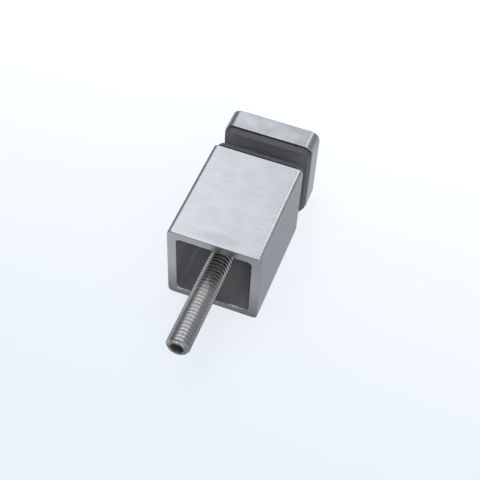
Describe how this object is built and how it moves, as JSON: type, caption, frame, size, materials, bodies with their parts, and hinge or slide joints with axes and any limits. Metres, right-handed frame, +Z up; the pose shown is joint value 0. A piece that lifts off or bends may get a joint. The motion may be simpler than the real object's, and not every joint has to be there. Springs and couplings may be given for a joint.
{
  "type": "glass standoff",
  "caption": "Square metal standoff that clamps drilled glass between soft gaskets under a screw-on cap, with a hollow spacer and a threaded stud that goes into the wall.",
  "frame": {"origin": "on the stud's axis, in the plane of the spacer's open end, which bears on the wall", "axes": "+Y along the stud, from the cap to the stud's free tip and into the wall; +Z up, square to a flat side of the spacer"},
  "size_m": [0.0382, 0.1063, 0.0382],
  "materials": {
    "satin_steel": "satin brushed across the width",
    "stud_steel": "rolled thread",
    "gasket_rubber": "matt moulded",
    "sleeve_plastic": "moulded"
  },
  "bodies": {
    "stud": {"mounting_stud": "stud_steel", "glass_sleeve": "sleeve_plastic"},
    "rear_pad": {"rear_gasket": "gasket_rubber"},
    "spacer": {"spacer_body": "satin_steel"},
    "front_pad": {"front_gasket": "gasket_rubber"},
    "cap": {"clamp_cap": "satin_steel"}
  },
  "joints": [
    {"name": "rear_gasket_slide", "type": "slide", "parent": "stud", "child": "rear_pad", "axis": [0, 1, 0], "range_m": [0, 0.03573]},
    {"name": "spacer_turn", "type": "hinge", "parent": "rear_pad", "child": "spacer", "pos_m": [0, -0.042, 0], "axis": [0, 1, 0], "range_deg": [0, 8100]},
    {"name": "front_gasket_slide", "type": "slide", "parent": "stud", "child": "front_pad", "axis": [0, 1, 0], "range_m": [-0.00318, 0.00159]},
    {"name": "cap_turn", "type": "hinge", "parent": "front_pad", "child": "cap", "pos_m": [0, -0.065, 0], "axis": [0, 1, 0], "range_deg": [-720, 360]}
  ],
  "couplings": [
    {"joint": "rear_gasket_slide", "follows": "spacer_turn", "m_per_rad": 0.00025266},
    {"joint": "front_gasket_slide", "follows": "cap_turn", "m_per_rad": 0.00025266}
  ]
}
